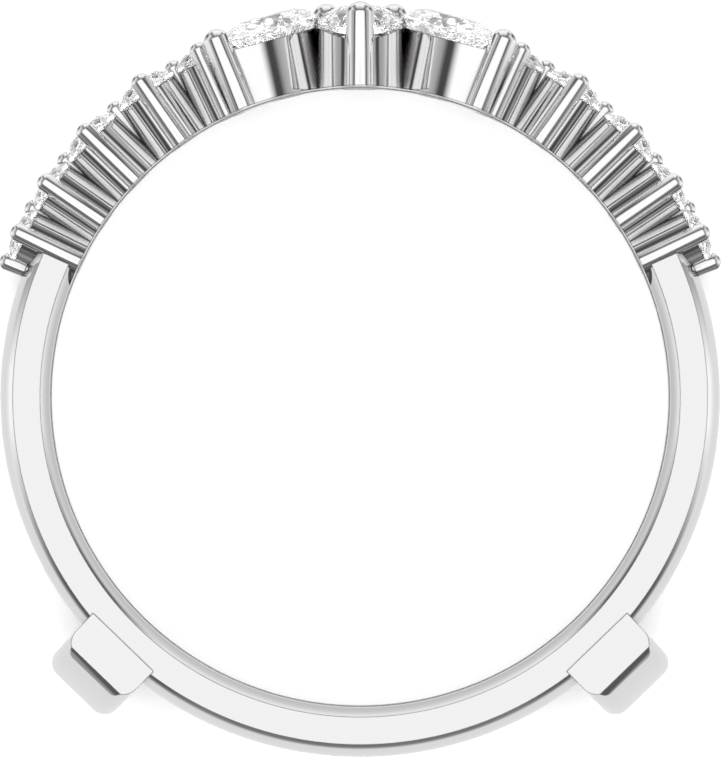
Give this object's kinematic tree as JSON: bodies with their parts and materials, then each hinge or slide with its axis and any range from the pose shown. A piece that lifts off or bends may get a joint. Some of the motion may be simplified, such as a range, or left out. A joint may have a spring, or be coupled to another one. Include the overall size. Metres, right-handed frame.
{
  "type": "ring guard enhancer",
  "caption": "Ring guard enhancer: paired rows of marquise and round stones on slim bands, joined by arched bars over a gap that takes a solitaire ring.",
  "frame": {"origin": "centre of the finger bore, midway between the two rows", "axes": "+Z along the finger towards the front row, +Y to the top of the ring where the centre stones are, +X to the right as seen from the front"},
  "size_m": [0.0202, 0.021, 0.0094],
  "materials": {
    "white_gold": "high polish, rhodium plated",
    "diamond": "faceted, polished"
  },
  "bodies": {
    "root": {"ring_frame": "white_gold", "centre_round_front": "diamond", "centre_round_back": "diamond", "marquise_front_left": "diamond", "marquise_front_right": "diamond", "marquise_back_left": "diamond", "marquise_back_right": "diamond", "small_round_front_left_1": "diamond", "small_round_front_left_2": "diamond", "small_round_front_left_3": "diamond", "small_round_front_left_4": "diamond", "small_round_front_left_5": "diamond", "small_round_front_right_1": "diamond", "small_round_front_right_2": "diamond", "small_round_front_right_3": "diamond", "small_round_front_right_4": "diamond", "small_round_front_right_5": "diamond", "small_round_back_left_1": "diamond", "small_round_back_left_2": "diamond", "small_round_back_left_3": "diamond", "small_round_back_left_4": "diamond", "small_round_back_left_5": "diamond", "small_round_back_right_1": "diamond", "small_round_back_right_2": "diamond", "small_round_back_right_3": "diamond", "small_round_back_right_4": "diamond", "small_round_back_right_5": "diamond"}
  },
  "joints": []
}
